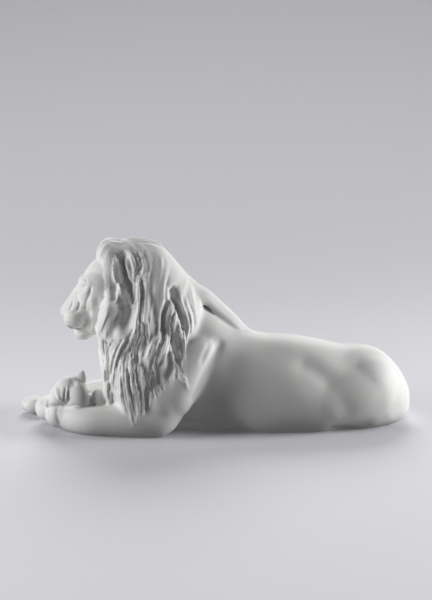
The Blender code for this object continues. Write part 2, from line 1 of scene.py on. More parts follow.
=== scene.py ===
"""A white bisque porcelain lion that lies with its cub, finished for a studio photograph.

The lion looks along -X, +Z is up, and -Y is the side that the photograph shows. While it is being modelled
every place and size is in parts, about one to the millimetre. The finished cast is fitted to the solid's box.
"""

import math

import bmesh
import bpy
import numpy as np
from mathutils import Euler, Matrix, Vector
from mathutils.bvhtree import BVHTree


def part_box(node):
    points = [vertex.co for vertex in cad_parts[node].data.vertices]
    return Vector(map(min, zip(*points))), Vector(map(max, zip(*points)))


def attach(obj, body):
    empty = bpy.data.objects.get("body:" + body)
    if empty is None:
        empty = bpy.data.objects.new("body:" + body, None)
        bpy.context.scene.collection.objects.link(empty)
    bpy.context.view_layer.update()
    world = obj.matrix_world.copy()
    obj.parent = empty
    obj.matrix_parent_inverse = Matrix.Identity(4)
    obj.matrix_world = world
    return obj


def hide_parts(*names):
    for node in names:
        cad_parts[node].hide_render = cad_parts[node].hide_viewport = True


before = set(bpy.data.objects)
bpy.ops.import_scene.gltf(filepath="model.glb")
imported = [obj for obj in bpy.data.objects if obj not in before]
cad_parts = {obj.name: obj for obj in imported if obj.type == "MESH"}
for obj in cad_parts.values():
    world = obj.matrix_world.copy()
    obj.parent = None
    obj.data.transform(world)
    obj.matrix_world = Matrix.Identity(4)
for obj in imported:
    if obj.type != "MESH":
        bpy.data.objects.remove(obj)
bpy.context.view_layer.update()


# Trunk: the lion's body from the chest to the rump, the largest of the clay masses that the mould was
# taken from. It is pear-shaped across, widest low down where the belly spreads on the table.


def spline(rows, count):
    """Catmull-Rom curve: each span between two rows is the cubic that leaves them along their neighbours'
    chord, and every column is carried along."""
    rows = np.asarray(rows, float)
    ends = np.vstack([2 * rows[0] - rows[1], rows, 2 * rows[-1] - rows[-2]])
    place = np.linspace(0, len(rows) - 1, count)
    i = np.minimum(place.astype(int), len(rows) - 2)
    t = (place - i)[:, None]
    a, b, c, d = ends[i], ends[i + 1], ends[i + 2], ends[i + 3]
    return 0.5 * (2 * b + (c - a) * t + (2 * a - 5 * b + 4 * c - d) * t**2 + (3 * b - a - 3 * c + d) * t**3)


def unit(vectors):
    return vectors / np.maximum(np.linalg.norm(vectors, axis=-1, keepdims=True), 1e-9)


def skin(rings):
    """Points and triangles of a closed skin over a row of rings: each cell between two rings is split in
    two, and each end ring is joined to its own middle."""
    rows, sides = rings.shape[:2]
    points = np.vstack([rings.reshape(-1, 3), rings[0].mean(0), rings[-1].mean(0)])
    row, side = np.meshgrid(np.arange(rows - 1), np.arange(sides), indexing="ij")
    a, b = (row * sides + side).ravel(), (row * sides + (side + 1) % sides).ravel()
    walls = np.vstack([np.stack([a, b, b + sides], 1), np.stack([a, b + sides, a + sides], 1)])
    this, following, last = np.arange(sides), (np.arange(sides) + 1) % sides, (rows - 1) * sides
    first_cap = np.stack([np.full(sides, rows * sides), following, this], 1)
    last_cap = np.stack([np.full(sides, rows * sides + 1), last + this, last + following], 1)
    return points, np.vstack([walls, first_cap, last_cap])


# x, middle y, half width, top and bottom of each section
TRUNK = [
    (-82, 0, 40, 148, 22),
    (-50, 0, 52, 166, 14),
    (-10, 0, 57, 155, 7),
    (25, 0, 61, 130, 0),
    (60, 0, 66, 119, -10),
    (100, 0, 69, 116, -8),
    (135, 1, 66, 110, -8),
    (165, 3, 59, 103, -6),
    (192, 6, 54, 102, -6),
    (214, 8, 47, 95, -4),
    (234, 10, 37, 77, 0),
    (247, 11, 25, 57, 8),
    (253, 12, 12, 42, 18),
]
BELLY_SHARE = 0.36


def trunk():
    """Each section is an oval whose width goes with the cosine to the power 0.85 and whose height goes
    with the sine above its widest level and with the sine to the power 0.8 below it."""
    x, middle, half, top, bottom = spline(TRUNK, 90).T[:, :, None]
    angle = np.linspace(0, math.tau, 64, endpoint=False)[None]
    widest = bottom + BELLY_SHARE * (top - bottom)
    rise, run = np.sin(angle), np.cos(angle)
    height = np.where(rise > 0, (top - widest) * np.abs(rise), -(widest - bottom) * np.abs(rise) ** 0.8)
    width = half * np.sign(run) * np.abs(run) ** 0.85
    return skin(np.stack([x + 0 * angle, middle + width, widest + height], axis=-1))


# Limbs: shoulders, forelegs stretched out in front, haunches, hind feet and tail, rolled in clay and
# joined to the trunk. The hind feet and the tail lie on the far side.


def ball(centre, radii, turn=(0, 0, 0)):
    """An ellipsoid by latitude and longitude, turned by Euler angles in degrees."""
    latitude = np.linspace(0.1, math.pi - 0.1, 18)[:, None]
    longitude = np.linspace(0, math.tau, 30, endpoint=False)[None]
    across = np.sin(latitude)
    rings = np.stack([
        across * np.cos(longitude),
        across * np.sin(longitude),
        np.cos(latitude) + 0 * longitude,
    ], -1)
    turned = np.array(Euler([math.radians(a) for a in turn]).to_matrix())
    return skin(rings * radii @ turned.T + centre)


def tube(rows, count=36, sides=28):
    """Ovals carried along a curve through the rows, which are x, y, z, half width and half height. Near
    each end they shrink as a circle does, so the ends are round."""
    ends = 1 - np.cos(np.linspace(0, math.pi, count))
    rows = spline(rows, 200)[np.round(ends / 2 * 199).astype(int)]
    centres, radii = rows[:, :3], rows[:, 3:]
    along = unit(np.gradient(centres, axis=0))
    side = unit(np.cross(along, (0.0, 0.0, 1.0)))
    up = np.cross(side, along)
    run = np.concatenate([[0], np.cumsum(np.linalg.norm(np.diff(centres, axis=0), axis=1))])
    near_end = np.minimum(run, run[-1] - run) / radii.mean(1)
    round_off = np.sqrt(np.clip(1 - (1 - np.clip(near_end, 0.02, 1)) ** 2, 0, 1))[:, None]
    angle = np.linspace(0, math.tau, sides, endpoint=False)[None, :, None]
    return skin(
        centres[:, None]
        + side[:, None] * np.cos(angle) * (radii[:, :1] * round_off)[:, None]
        + up[:, None] * np.sin(angle) * (radii[:, 1:] * round_off)[:, None]
    )


limbs = [
    # near shoulder, foreleg and elbow
    tube([(-2, -34, 118, 16, 20), (-23, -46, 94, 20, 26), (-46, -60, 58, 20, 25), (-64, -64, 28, 19, 25)]),
    tube([(-48, -60, 14, 13, 15), (-66, -65, 21, 18, 24), (-92, -66, 21, 20, 23), (-130, -62, 19, 19, 20),
          (-160, -56, 18, 19, 19), (-182, -41, 18, 20, 19), (-201, -19, 18, 20, 18)]),
    ball((-66, -58, 41), (28, 26, 38)),
    ball((-196, -38, 19), (22, 17, 16)),
    ball((-204, -26, 26), (12, 13, 13)),
    # far shoulder, foreleg and elbow, and the breast between them
    tube([(-2, 34, 118, 16, 20), (-23, 46, 94, 20, 26), (-46, 57, 58, 20, 25), (-64, 62, 26, 19, 25)]),
    tube([(-38, 60, 16, 13, 17), (-62, 65, 22, 18, 25), (-110, 66, 21, 20, 24),
          (-160, 62, 20, 19, 22), (-195, 57, 15, 18, 15), (-228, 53, 10.5, 18, 11)]),
    ball((-66, 50, 50), (30, 24, 30)),
    ball((-84, 0, 62), (46, 46, 50)),
    tube([(-128, 2, 8, 18, 14), (-96, 0, 10, 34, 18), (-40, 0, 10, 40, 18), (30, 0, 6, 46, 16)]),
    # rump and thighs
    ball((194, -8, 55), (43, 42, 41), (0, 24, 0)),
    tube([(84, -30, 33, 28, 32), (128, -32, 36, 33, 38), (154, -29, 40, 34, 39), (182, -21, 46, 36, 40),
          (210, -8, 50, 35, 38), (236, 4, 48, 28, 32)]),
    ball((180, 32, 53), (50, 38, 45), (0, 24, -16)),
    ball((134, 54, 38), (42, 27, 36), (0, 10, -14)),
    # hind feet
    tube([(132, 62, 28, 20, 24), (176, 78, 22, 17, 18), (204, 84, 15, 13, 14),
          (176, 96, 11, 11, 11), (140, 102, 10, 13, 11), (122, 104, 10, 14, 11)]),
    tube([(120, 50, 14, 16, 14), (84, 72, 10, 14, 11), (62, 82, 9, 15, 10)]),
    # tail and its tuft
    tube([(226, 12, 44, 12, 14), (241, 26, 26, 9, 10), (242, 56, 9, 8, 9), (222, 88, 6.5, 7.5, 8),
          (185, 111, 6.5, 7, 7.5), (148, 124, 6.5, 6.5, 7), (116, 124, 6.5, 6, 6.5)]),
    tube([(134, 125, 7, 6, 7), (116, 124, 8, 10, 9), (98, 119, 8, 10, 8), (82, 111, 6, 5, 6),
          (74, 105, 5, 2, 3)]),
]


# Mane core: the mass of hair round the neck, pressed on in clay before the locks are laid over it. At the
# back it ends in a free tongue that lies over the shoulders and narrows to a point.

# x, middle y, half width, top and bottom of each section
MANE = [
    (-136, 2, 26, 236, 170),
    (-122, 2, 38, 242, 120),
    (-104, 1, 48, 241, 84),
    (-86, 0, 54, 239, 64),
    (-68, 0, 57, 233, 60),
    (-52, 0, 57, 216, 62),
    (-38, 0, 54, 199, 72),
    (-26, 0, 46, 184, 88),
    (-16, 0, 32, 168, 104),
]
MANE_WIDEST = 0.42


def mane():
    """Each section is an oval whose width goes with the cosine to the power 1.1, so that it narrows
    towards its crest, and whose height goes with the sine on both sides of its widest level."""
    x, middle, half, top, bottom = spline(MANE, 80).T[:, :, None]
    angle = np.linspace(0, math.tau, 64, endpoint=False)[None]
    widest = bottom + MANE_WIDEST * (top - bottom)
    rise, run = np.sin(angle), np.cos(angle)
    height = np.where(rise > 0, (top - widest), (widest - bottom)) * rise
    width = half * np.sign(run) * np.abs(run) ** 1.1
    return skin(np.stack([x + 0 * angle, middle + width, widest + height], axis=-1))


mane_core = [
    mane(),
    ball((-112, 2, 198), (38, 39, 43)),
    ball((-133, 2, 220), (20, 27, 23)),
    ball((-122, 0, 98), (27, 36, 60)),
    ball((-143, -4, 127), (12, 20, 14)),
]
for side in (-1, 1):
    mane_core += [
        ball((-102, 32 * side, 130), (49, 34, 62), (0, -6, 0)),
        ball((-107, 42 * side, 76), (37, 28, 42)),
        ball((-72, 42 * side, 92), (34, 32, 46)),
        ball((-128, 48 * side, 58), (15, 20, 24)),
        # the lobe that hangs over the foreleg
        ball((-105, 69 * side, 62), (20, 11, 36)),
        ball((-101, 73 * side, 36), (17, 9, 25)),
    ]

# x, crest, half width, fall to the edges and thickness
TONGUE = [
    (-68, 222, 44, 38, 8),
    (-50, 211, 42, 31, 10),
    (-35, 196, 34, 22, 12),
    (-20, 183, 24, 11, 13),
    (-7, 175, 19, 6, 15),
    (6, 163, 17.5, 5, 19),
    (18, 152, 16.5, 5, 19),
    (31, 138.5, 15, 4, 14),
    (41, 128, 11, 3, 10),
    (53, 119, 4, 1, 4),
]


def tongue():
    """A sheet that falls from its crest with the square of the distance across. Its section is a flattened
    ring, and its upper side is ribbed by a cosine across, as strands."""
    x, crest, half, fall, thick = spline(TONGUE, 70).T[:, :, None]
    angle = np.linspace(0, math.tau, 96, endpoint=False)[None]
    across, rise = np.cos(angle), np.sin(angle)
    ribs = np.where(rise > 0, 1 + 0.05 * np.cos(3.5 * math.tau * across + 0.05 * x), 1)
    rise = np.sign(rise) * np.abs(rise) ** 0.5
    height = crest - thick / 2 - fall * across**2 + thick / 2 * rise * ribs
    return skin(np.stack([x - 0.18 * half * across**2, half * across, height], axis=-1))


def fuse(pieces, voxel, smoothing):
    """One skin over all the pieces: they are remeshed together on a grid of the voxel's size, and each
    round of smoothing moves every point halfway to the mean of its neighbours."""
    first = np.cumsum([0] + [len(points) for points, _ in pieces])
    mesh = bpy.data.meshes.new("masses")
    triangles = np.vstack([faces + start for (_, faces), start in zip(pieces, first)])
    mesh.from_pydata(np.vstack([points for points, _ in pieces]).tolist(), [], triangles.tolist())
    guide = bpy.data.objects.new("masses", mesh)
    bpy.context.scene.collection.objects.link(guide)
    remesh = guide.modifiers.new("fuse", "REMESH")
    remesh.mode = "VOXEL"
    remesh.voxel_size = voxel
    ease = guide.modifiers.new("ease", "SMOOTH")
    ease.factor = 0.5
    ease.iterations = smoothing
    bpy.context.view_layer.update()
    fused = bpy.data.meshes.new_from_object(guide.evaluated_get(bpy.context.evaluated_depsgraph_get()))
    bpy.data.objects.remove(guide)
    bpy.data.meshes.remove(mesh)
    return fused


CLAY_VOXEL = 2.4
CLAY_SMOOTHING = 14
core = fuse([trunk()] + limbs + mane_core, CLAY_VOXEL, CLAY_SMOOTHING)


# Modelling of the body: the edge of the upper arm, the thin folds of skin behind it, the groove in front of
# the thigh, and knee, hock and flank, worked into the clay with a soft tool. The strokes are drawn on the
# side view, a sheet 432 wide and 600 high that hangs through the figure.

SHEET_MIDDLE = np.array((216.5, 300))
SHEET_UNIT = 1.2857
LOOK_AT = np.array((1.1, -0.7, 163))
VIEW_DISTANCE = 2400
VIEW_RISE = math.radians(11)
VIEW_UP = np.array((0, math.sin(VIEW_RISE), math.cos(VIEW_RISE)))
VIEW_BACK = np.array((0, -math.cos(VIEW_RISE), math.sin(VIEW_RISE)))


def points_of(mesh):
    points = np.empty(len(mesh.vertices) * 3, np.float32)
    mesh.vertices.foreach_get("co", points)
    return points.reshape(-1, 3).astype(float)


def triangles_of(mesh):
    mesh.calc_loop_triangles()
    triangles = np.empty(len(mesh.loop_triangles) * 3, np.int32)
    mesh.loop_triangles.foreach_get("vertices", triangles)
    return triangles.reshape(-1, 3)


def as_piece(mesh):
    return points_of(mesh), triangles_of(mesh)


def tree_of(mesh):
    return BVHTree.FromPolygons(points_of(mesh).tolist(), triangles_of(mesh).tolist())


def cast_rays(tree, starts, directions):
    """Where rays meet the skin, with its normals there. A ray that misses takes the skin's nearest point."""
    hits = [tree.ray_cast(Vector(start), Vector(way)) for start, way in zip(starts, directions)]
    hits = [hit if hit[0] is not None else tree.find_nearest(Vector(start) + Vector(way))
            for hit, start, way in zip(hits, starts, directions)]
    return np.array([hit[0] for hit in hits]), np.array([hit[1] for hit in hits])


def on_side(tree, drawn, side=-1):
    """Points drawn on the side view, carried along the lines of sight to the skin. Side 1 is the far side,
    where the whole sight is mirrored."""
    drawn = np.asarray(drawn, float)
    eye = LOOK_AT + VIEW_DISTANCE * VIEW_BACK
    offset = (drawn - SHEET_MIDDLE) * SHEET_UNIT
    sheet = LOOK_AT + offset[:, :1] * (1, 0, 0) - offset[:, 1:] * VIEW_UP
    mirror = np.array((1, -side, 1))
    return cast_rays(tree, np.tile(eye * mirror, (len(drawn), 1)), (sheet - eye) * mirror)


def strokes(mesh, rows):
    """Each row is a radius, a height and a path. The skin moves along its normal by the height times a bell
    curve of its distance from the path, over the radius."""
    points = points_of(mesh)
    normals = np.empty(len(mesh.vertices) * 3, np.float32)
    mesh.vertex_normals.foreach_get("vector", normals)
    push = np.zeros(len(points))
    for radius, height, path in rows:
        path = spline(path, 3 * len(path))
        reach = 2.5 * radius
        within = (points > path.min(0) - reach) & (points < path.max(0) + reach)
        close = np.flatnonzero(np.all(within, axis=1))
        near = points[close]
        away = np.full(len(near), np.inf)
        for a, b in zip(path[:-1], path[1:]):
            run = b - a
            t = np.clip((near - a) @ run / max(run @ run, 1e-9), 0, 1)[:, None]
            away = np.minimum(away, np.linalg.norm(near - a - t * run, axis=1))
        push[close] += height * np.exp(-((away / radius) ** 2))
    points += normals.reshape(-1, 3) * push[:, None]
    mesh.vertices.foreach_set("co", points.astype(np.float32).ravel())
    mesh.update()


# radius, height and the path on the side view; the first list is mirrored to the far side
SHOULDER_STROKES = [
    (6, -2.4, [(220, 344), (213, 356), (206, 370), (200, 384), (194, 398)]),
    (3, 0.5, [(212, 338), (204, 350), (199.5, 362)]),
    (3.4, -1.3, [(209, 344), (205, 353), (202, 361)]),
    (3, 0.6, [(217, 342), (211, 352), (206, 362)]),
    (20, -2, [(232, 365), (236, 385)]),
]
HAUNCH_STROKES = [
    (14, -4.4, [(306, 364), (317, 371), (328, 380)]),
    (10, -0.8, [(340, 398), (348, 410)]),
    (16, -1.6, [(290, 362), (303, 378), (318, 392)]),
    (18, 1.2, [(322, 404), (328, 412)]),
    (11, 2, [(376, 422), (388, 417)]),
    (7, -4, [(334, 429), (352, 430)]),
]
core_tree = tree_of(core)
body_rows = [(radius, height, on_side(core_tree, drawn, side)[0])
             for side in (-1, 1) for radius, height, drawn in SHOULDER_STROKES]
body_rows += [(radius, height, on_side(core_tree, drawn)[0]) for radius, height, drawn in HAUNCH_STROKES]
strokes(core, body_rows)


# The lion's head: broad skull, straight nose, full lips and a strong chin, bent down over the cub and
# turned a little. It is modelled in its own frame, forwards, across and up from the middle of the skull.

HEAD_AT = (-137, 2, 201)
HEAD_YAW = 13
HEAD_PITCH = 22
head_place = (
    Matrix.Translation(HEAD_AT)
    @ Matrix.Rotation(math.radians(180 - HEAD_YAW), 4, "Z")
    @ Matrix.Rotation(math.radians(HEAD_PITCH), 4, "Y")
)


def pair(shape, *arguments):
    """A shape of a head and its mirror image across the head's middle."""
    points, faces = shape(*arguments)
    return [(points, faces), (points * (1, -1, 1), faces[:, ::-1])]


def moved(pieces, place):
    turned = np.array(place.to_3x3())
    return [(points @ turned.T + np.array(place.translation), faces) for points, faces in pieces]


def leaf(base, tip, across, half_width, thickness, cup):
    """A cupped ear: ovals from base to tip whose width follows a sine, bent out of the ear's plane with the
    square of the distance across."""
    base, tip, across = (np.array(v, float) for v in (base, tip, across))
    along = unit(tip - base)
    across = unit(across - along * (across @ along))
    out = np.cross(along, across)
    t = np.linspace(0, 1, 20)[:, None]
    angle = np.linspace(0, math.tau, 28, endpoint=False)[None]
    wide = half_width * np.maximum(0.06, np.sin(math.pi * (0.18 + 0.82 * t)) ** 0.7)
    v = np.cos(angle)
    out_of_plane = cup * v**2 * wide / half_width + thickness * np.maximum(0.25, 1 - 0.6 * t) * np.sin(angle)
    middle = base + (tip - base) * t[..., None]
    return skin(middle + (v * wide)[..., None] * across + out_of_plane[..., None] * out)


# base and tip of an ear, on the side view
EAR = [(119, 283), (116, 254)]
FINE_VOXEL = 1.4

skull = fuse(
    [
        ball((-5, 0, -2), (37, 31, 24)),
        ball((9, 0, -4), (29, 24, 20)),
        tube([(-24, 0, 26, 16, 12), (-8, 0, 24, 15, 11), (5, 0, 20, 9, 8)]),
        tube([(30, 0, -4, 15, 10), (44, 0, -12.5, 12, 10), (60, 0, -23, 11, 10), (76, 0, -32.5, 12, 9),
              (81, 0, -36, 9, 7)]),
        ball((46, 0, -32), (28, 20, 20)),
        ball((72, 0, -42), (9, 9, 12)),
        ball((61, 0, -63), (14, 13, 11)),
        ball((26, 0, -41), (31, 20, 14), (0, 15, 0)),
        ball((46, 0, -57), (18, 16, 15)),
    ]
    + pair(ball, (62, 11, -42), (16, 13, 14), (0, 12, 0))
    + pair(ball, (16, 21, -18), (28, 15, 25), (0, 10, -10))
    + pair(ball, (31, 13, 0), (9, 9, 7), (0, 30, 20)),
    FINE_VOXEL,
    9,
)
head = moved([as_piece(skull)], head_place)
head += moved(pair(ball, (37, 15.5, -9), (6.5, 6, 5)), head_place)
under_tree = tree_of(fuse([as_piece(core)] + head, CLAY_VOXEL, 2))
for side in (-1, 1):
    base, tip = on_side(under_tree, EAR, side)[0]
    tip = tip + np.array((0, 5 * side, 2))
    head.append(leaf(base, tip, (side, 0, 0), 6.5, 1.8, 4))


# Locks: the carved hair of the mane. Each lock is a tapering ridge of clay with a round crest and sharp
# valleys beside it. The large ones are drawn on the side view, and smaller strands follow their run.

# the share of a lock's height that is pressed into the hair under it, its full width over the width that is
# drawn, and the points along it
SUNK = 0.3
SPREAD = 1.85
STEPS = 24


def lock(places, normals, half_width, height, ridges=1):
    """A lock of hair: a ribbed oval carried along the path. It widens quickly from its root and narrows to
    a point, and its crest is ribbed by a cosine across."""
    rows = len(places)
    kernel = np.ones(5) / 5
    padded = np.pad(normals, ((2, 2), (0, 0)), "edge")
    normals = unit(np.stack([np.convolve(padded[:, i], kernel, "valid") for i in range(3)], axis=1))
    padded = np.pad(places, ((2, 2), (0, 0)), "edge")
    inner = np.stack([np.convolve(padded[:, i], kernel, "valid") for i in range(3)], axis=1)
    places = np.vstack([places[:1], inner[1:-1], places[-1:]])
    along = unit(np.gradient(places, axis=0))
    side = unit(np.cross(along, normals))
    t = np.linspace(0, 1, rows)
    wide = half_width * np.clip(np.minimum((t + 0.1) * 4, (1.03 - t) * 2.4), 0, 1) ** 0.7
    tall = height * np.clip(np.minimum((t + 0.05) * 3.5, (1.04 - t) * 3.5), 0, 1) ** 0.7
    angle = np.linspace(0, math.tau, 24, endpoint=False)
    x, y = np.cos(angle), np.sin(angle)
    y = np.where(y > 0, y * (1 + 0.22 * np.cos(ridges * math.tau * x)), y)
    return skin(
        places[:, None]
        + side[:, None] * x[None, :, None] * wide[:, None, None]
        + normals[:, None] * ((y[None, :, None] - SUNK) * tall[:, None, None])
    )


# half width and height on the side view's scale, ribs, and the lock's run
LOCKS = [
    # beside the face, from the forelock down to the breast
    (4.4, 3.2, 2, [(105, 248), (107.5, 260), (109.5, 273), (110.5, 287), (108.5, 300), (106.5, 311)]),
    (3.4, 3.0, 2, [(110, 288), (109, 302), (106.5, 313), (103, 322), (100, 331), (98.5, 342)]),
    (2.2, 2.2, 1, [(98.5, 330), (98.5, 342), (100, 355), (101.5, 367), (105, 379)]),
    (2.6, 2.6, 1, [(102, 356), (104, 370), (106, 383), (106.5, 394), (106, 403)]),
    (1.7, 2.0, 1, [(111, 262), (112, 272), (114.5, 282), (117, 292)]),
    # forelock and crown
    (3.4, 2.6, 1, [(113, 236), (105, 242), (99.5, 249), (97, 258)]),
    (3.2, 3.0, 1, [(112, 243), (106, 247), (102, 254), (101, 262)]),
    (2.6, 2.4, 1, [(117, 245), (112, 249), (108, 255), (107, 262)]),
    (3.4, 2.2, 2, [(116, 238), (124, 240), (132, 247), (138, 257)]),
    (3.0, 2.2, 1, [(120, 246), (127, 249), (132, 256), (135, 266)]),
    (3.4, 2.0, 2, [(128, 239), (137, 243), (144, 252), (148, 264)]),
    # behind the ear
    (1.5, 2.2, 1, [(125, 256), (127, 266), (129.5, 276), (130, 287)]),
    (2.0, 2.4, 1, [(120, 268), (123, 275), (124, 283), (127, 292)]),
    (1.6, 1.6, 1, [(114, 284), (116.5, 293), (118, 303)]),
    (2.0, 1.2, 1, [(119, 303), (117, 313), (113, 322)]),
    (2.4, 3.2, 1, [(140.5, 269), (138, 279), (137, 290), (135.5, 300), (132, 310)]),
    (1.6, 2.2, 1, [(139.5, 298), (140.5, 309), (139.5, 319), (138.5, 331)]),
    # the broad fall of the neck, with low ripples
    (5.0, 1.3, 1, [(146, 250), (149, 264), (147, 279), (147, 293), (146, 306), (144, 319)]),
    (5.0, 1.2, 1, [(155, 252), (157, 266), (157, 281), (155.5, 295), (152, 308), (149, 319)]),
    (4.6, 1.1, 1, [(166, 256), (166, 268), (163, 281), (160, 293), (158, 304)]),
    (2.6, 1.8, 1, [(165, 278), (164, 288), (164.5, 302)]),
    (4.4, 1.1, 1, [(178, 266), (177, 276), (172, 284), (168, 292)]),
    (3.6, 1.6, 1, [(188, 276), (186, 284), (183, 291), (183, 300)]),
    (3.6, 2.0, 1, [(192, 282), (191, 292), (194, 304), (197.5, 315), (196.5, 328)]),
    (3.0, 1.6, 1, [(200, 290), (199, 299), (199.5, 309), (199, 320)]),
    # the middle tier
    (2.2, 2.6, 1, [(181, 297), (183, 306), (187, 315), (190.5, 323), (189.5, 331), (187, 339)]),
    (1.8, 2.0, 1, [(186, 297), (188, 306), (192, 316), (193, 325)]),
    (2.4, 2.8, 1, [(172, 305), (169, 313), (167.5, 322), (169, 333)]),
    (2.0, 2.4, 1, [(176, 312), (174.5, 321), (172.5, 330)]),
    (2.2, 2.0, 1, [(152, 305), (150, 315), (149, 325), (151, 336)]),
    (2.4, 1.8, 1, [(145, 312), (145, 323), (146, 334), (147, 345)]),
    (2.4, 2.0, 1, [(158, 300), (159, 312), (159.5, 324), (161, 335)]),
    (2.8, 3.0, 1, [(160, 324), (158, 334), (153.5, 345), (149, 355), (147, 363)]),
    (2.2, 2.6, 1, [(168, 329), (167.5, 340), (164, 350), (160.5, 360)]),
    (2.7, 3.0, 1, [(177, 318), (180, 331), (183, 344), (185, 357), (184, 369)]),
    # the fan in front
    (2.4, 2.0, 1, [(127.5, 334), (120.5, 344), (114.5, 355), (111.5, 367), (110, 379), (108.5, 391),
                   (108.5, 404)]),
    (2.6, 2.2, 1, [(128, 338), (122, 348), (117, 359), (114.5, 371), (113.5, 383), (112, 394), (109.5, 404)]),
    (2.4, 2.0, 1, [(129, 341), (124, 351), (120, 361), (118, 373), (118, 385), (116, 396)]),
    (2.0, 1.9, 1, [(127.5, 346), (124.5, 357), (124, 369), (126, 382)]),
    (2.5, 2.2, 1, [(139, 330), (134, 340), (131, 350), (130.5, 361), (132, 371), (131, 382)]),
    (1.9, 1.7, 1, [(139.5, 336), (136, 346), (134.5, 356), (134, 366)]),
    (1.6, 1.4, 1, [(143.5, 336), (142, 345), (140, 354), (140, 364)]),
    (1.8, 1.4, 1, [(144, 346), (143, 358), (142, 370), (142.5, 380)]),
    # the large hanging lobe and the fringe beside it
    (2.7, 2.3, 1, [(121, 368), (121.5, 383), (122.5, 397), (124.5, 409), (129, 417)]),
    (2.6, 2.3, 1, [(126, 380), (128.5, 393), (131, 406), (133, 418), (134.5, 428)]),
    (2.9, 2.5, 1, [(132, 376), (134.5, 390), (137, 402), (138, 415), (137.5, 428)]),
    (2.8, 2.5, 1, [(138.5, 374), (141, 388), (143.5, 400), (143.5, 413), (140, 427)]),
    (2.4, 2.0, 1, [(146.5, 360), (148, 375), (150, 389), (151.5, 400), (148.5, 411)]),
    (2.3, 1.9, 1, [(151, 368), (153, 381), (155.5, 392), (158.5, 400)]),
    (2.0, 1.7, 1, [(166, 346), (161.5, 357), (159, 369), (160, 382), (163.5, 396)]),
    (1.8, 1.2, 1, [(165, 362), (165, 374), (167, 387)]),
    (1.8, 1.2, 1, [(170, 360), (170.5, 372), (171, 384)]),
    (1.9, 1.7, 1, [(170, 350), (173, 360), (175.5, 370), (175.5, 381)]),
    (2.6, 3.6, 1, [(172, 352), (175, 360), (179.5, 369), (184, 379), (189, 392)]),
]
MANE_OUTLINE = [
    (98, 330), (99, 352), (104, 372), (105, 400), (121, 403), (133, 424), (142, 422), (148, 408),
    (158, 398), (165, 388), (175, 382), (187, 388), (185, 360), (188, 338), (198, 322), (199, 300),
    (190, 281), (172, 262), (150, 249), (128, 246), (118, 256), (114, 285), (110, 305), (104, 322),
]
# the smooth recess behind the face, where no strands lie
RECESS = [(114, 286), (130, 286), (138, 300), (136, 322), (128, 338), (108, 338), (106, 322)]


def inside(outline, points):
    """Whether points lie in an outline: a line to the right from them crosses it an odd number of times."""
    a, b = np.array(outline, float), np.roll(np.array(outline, float), -1, 0)
    x, y = points[:, :1], points[:, 1:]
    spans = (a[:, 1] > y) != (b[:, 1] > y)
    rise = np.where(b[:, 1] == a[:, 1], 1e-9, b[:, 1] - a[:, 1])
    cross = a[:, 0] + (y - a[:, 1]) * (b[:, 0] - a[:, 0]) / rise
    return (spans & (x < cross)).sum(1) % 2 == 1


def strands(chance, count):
    """Runs of thin strands over the whole mane but its recess: each walks from a random place along the mean
    direction of the drawn locks round it, weighted by a bell curve of their distance. With each run comes
    how much it lies in the smooth fall of the neck, from 0 to 1."""
    runs = [spline(run, 16) for _, _, _, run in LOCKS]
    middles = np.vstack([(run[1:] + run[:-1]) / 2 for run in runs])
    ways = np.vstack([unit(run[1:] - run[:-1]) for run in runs])
    low, high = np.min(MANE_OUTLINE, 0), np.max(MANE_OUTLINE, 0)
    starts = low + chance.random((count * 3, 2)) * (high - low)
    at = starts[inside(MANE_OUTLINE, starts) & ~inside(RECESS, starts)][:count]
    walks = [at]
    for _ in range(13):
        apart = np.linalg.norm(at[:, None] - middles[None], axis=2)
        weight = np.exp(-((apart / 5) ** 2)) + 1e-6
        at = at + unit((weight[..., None] * ways[None]).sum(1)) * 1.5
        walks.append(at)
    walks = np.stack(walks, 1)
    kept = inside(MANE_OUTLINE, walks[:, -1])
    smooth = np.clip((walks[:, 0, 0] - 140) / 12, 0, 1) * np.clip((308 - walks[:, 0, 1]) / 12, 0, 1)
    return walks[kept], smooth[kept]


STRANDS = 170
chance = np.random.default_rng(3)
hair = []
for side in (-1, 1):
    laid = list(LOCKS)
    for run, smooth in zip(*strands(chance, STRANDS)):
        if smooth < 0.2:
            size = 0.8 + 0.8 * chance.random()
            laid.append((size, size, 1, run))
    for half_width, height, ribs, run in laid:
        drawn = spline(run, STEPS)
        if side == 1:
            drawn = drawn + np.stack([1.2 * np.sin(drawn[:, 1] / 9), 0 * drawn[:, 0]], 1)
        places, normals = on_side(under_tree, drawn, side)
        hair.append(lock(places, normals, half_width * SPREAD, height, ribs))

# down the breast: half width, then y and z
breast = [
    (3.4, [(y * 0.6, 132), (y, 104), (y * 1.15, 78), (y * 0.95, 50)])
    for y in (-33, -25, -17, -9, 0, 9, 17, 25, 33)
]
breast += [
    (2.4, [(y * 0.7, 118), (y, 92), (y * 1.1, 64), (y, 36)])
    for y in (-29, -21, -13, -4, 5, 13, 21, 29)
]
FAR_OFF = 400
for i, (half_width, run) in enumerate(breast):
    drawn = spline(run, STEPS)
    sway = 1.5 * np.sin(drawn[:, 1] / 7 + i)
    starts = np.stack([np.full(STEPS, -FAR_OFF), drawn[:, 0] + sway, drawn[:, 1]], 1)
    places, normals = cast_rays(core_tree, starts, np.tile((1, 0, 0), (STEPS, 1)))
    hair.append(lock(places, normals, half_width, half_width * 0.8))

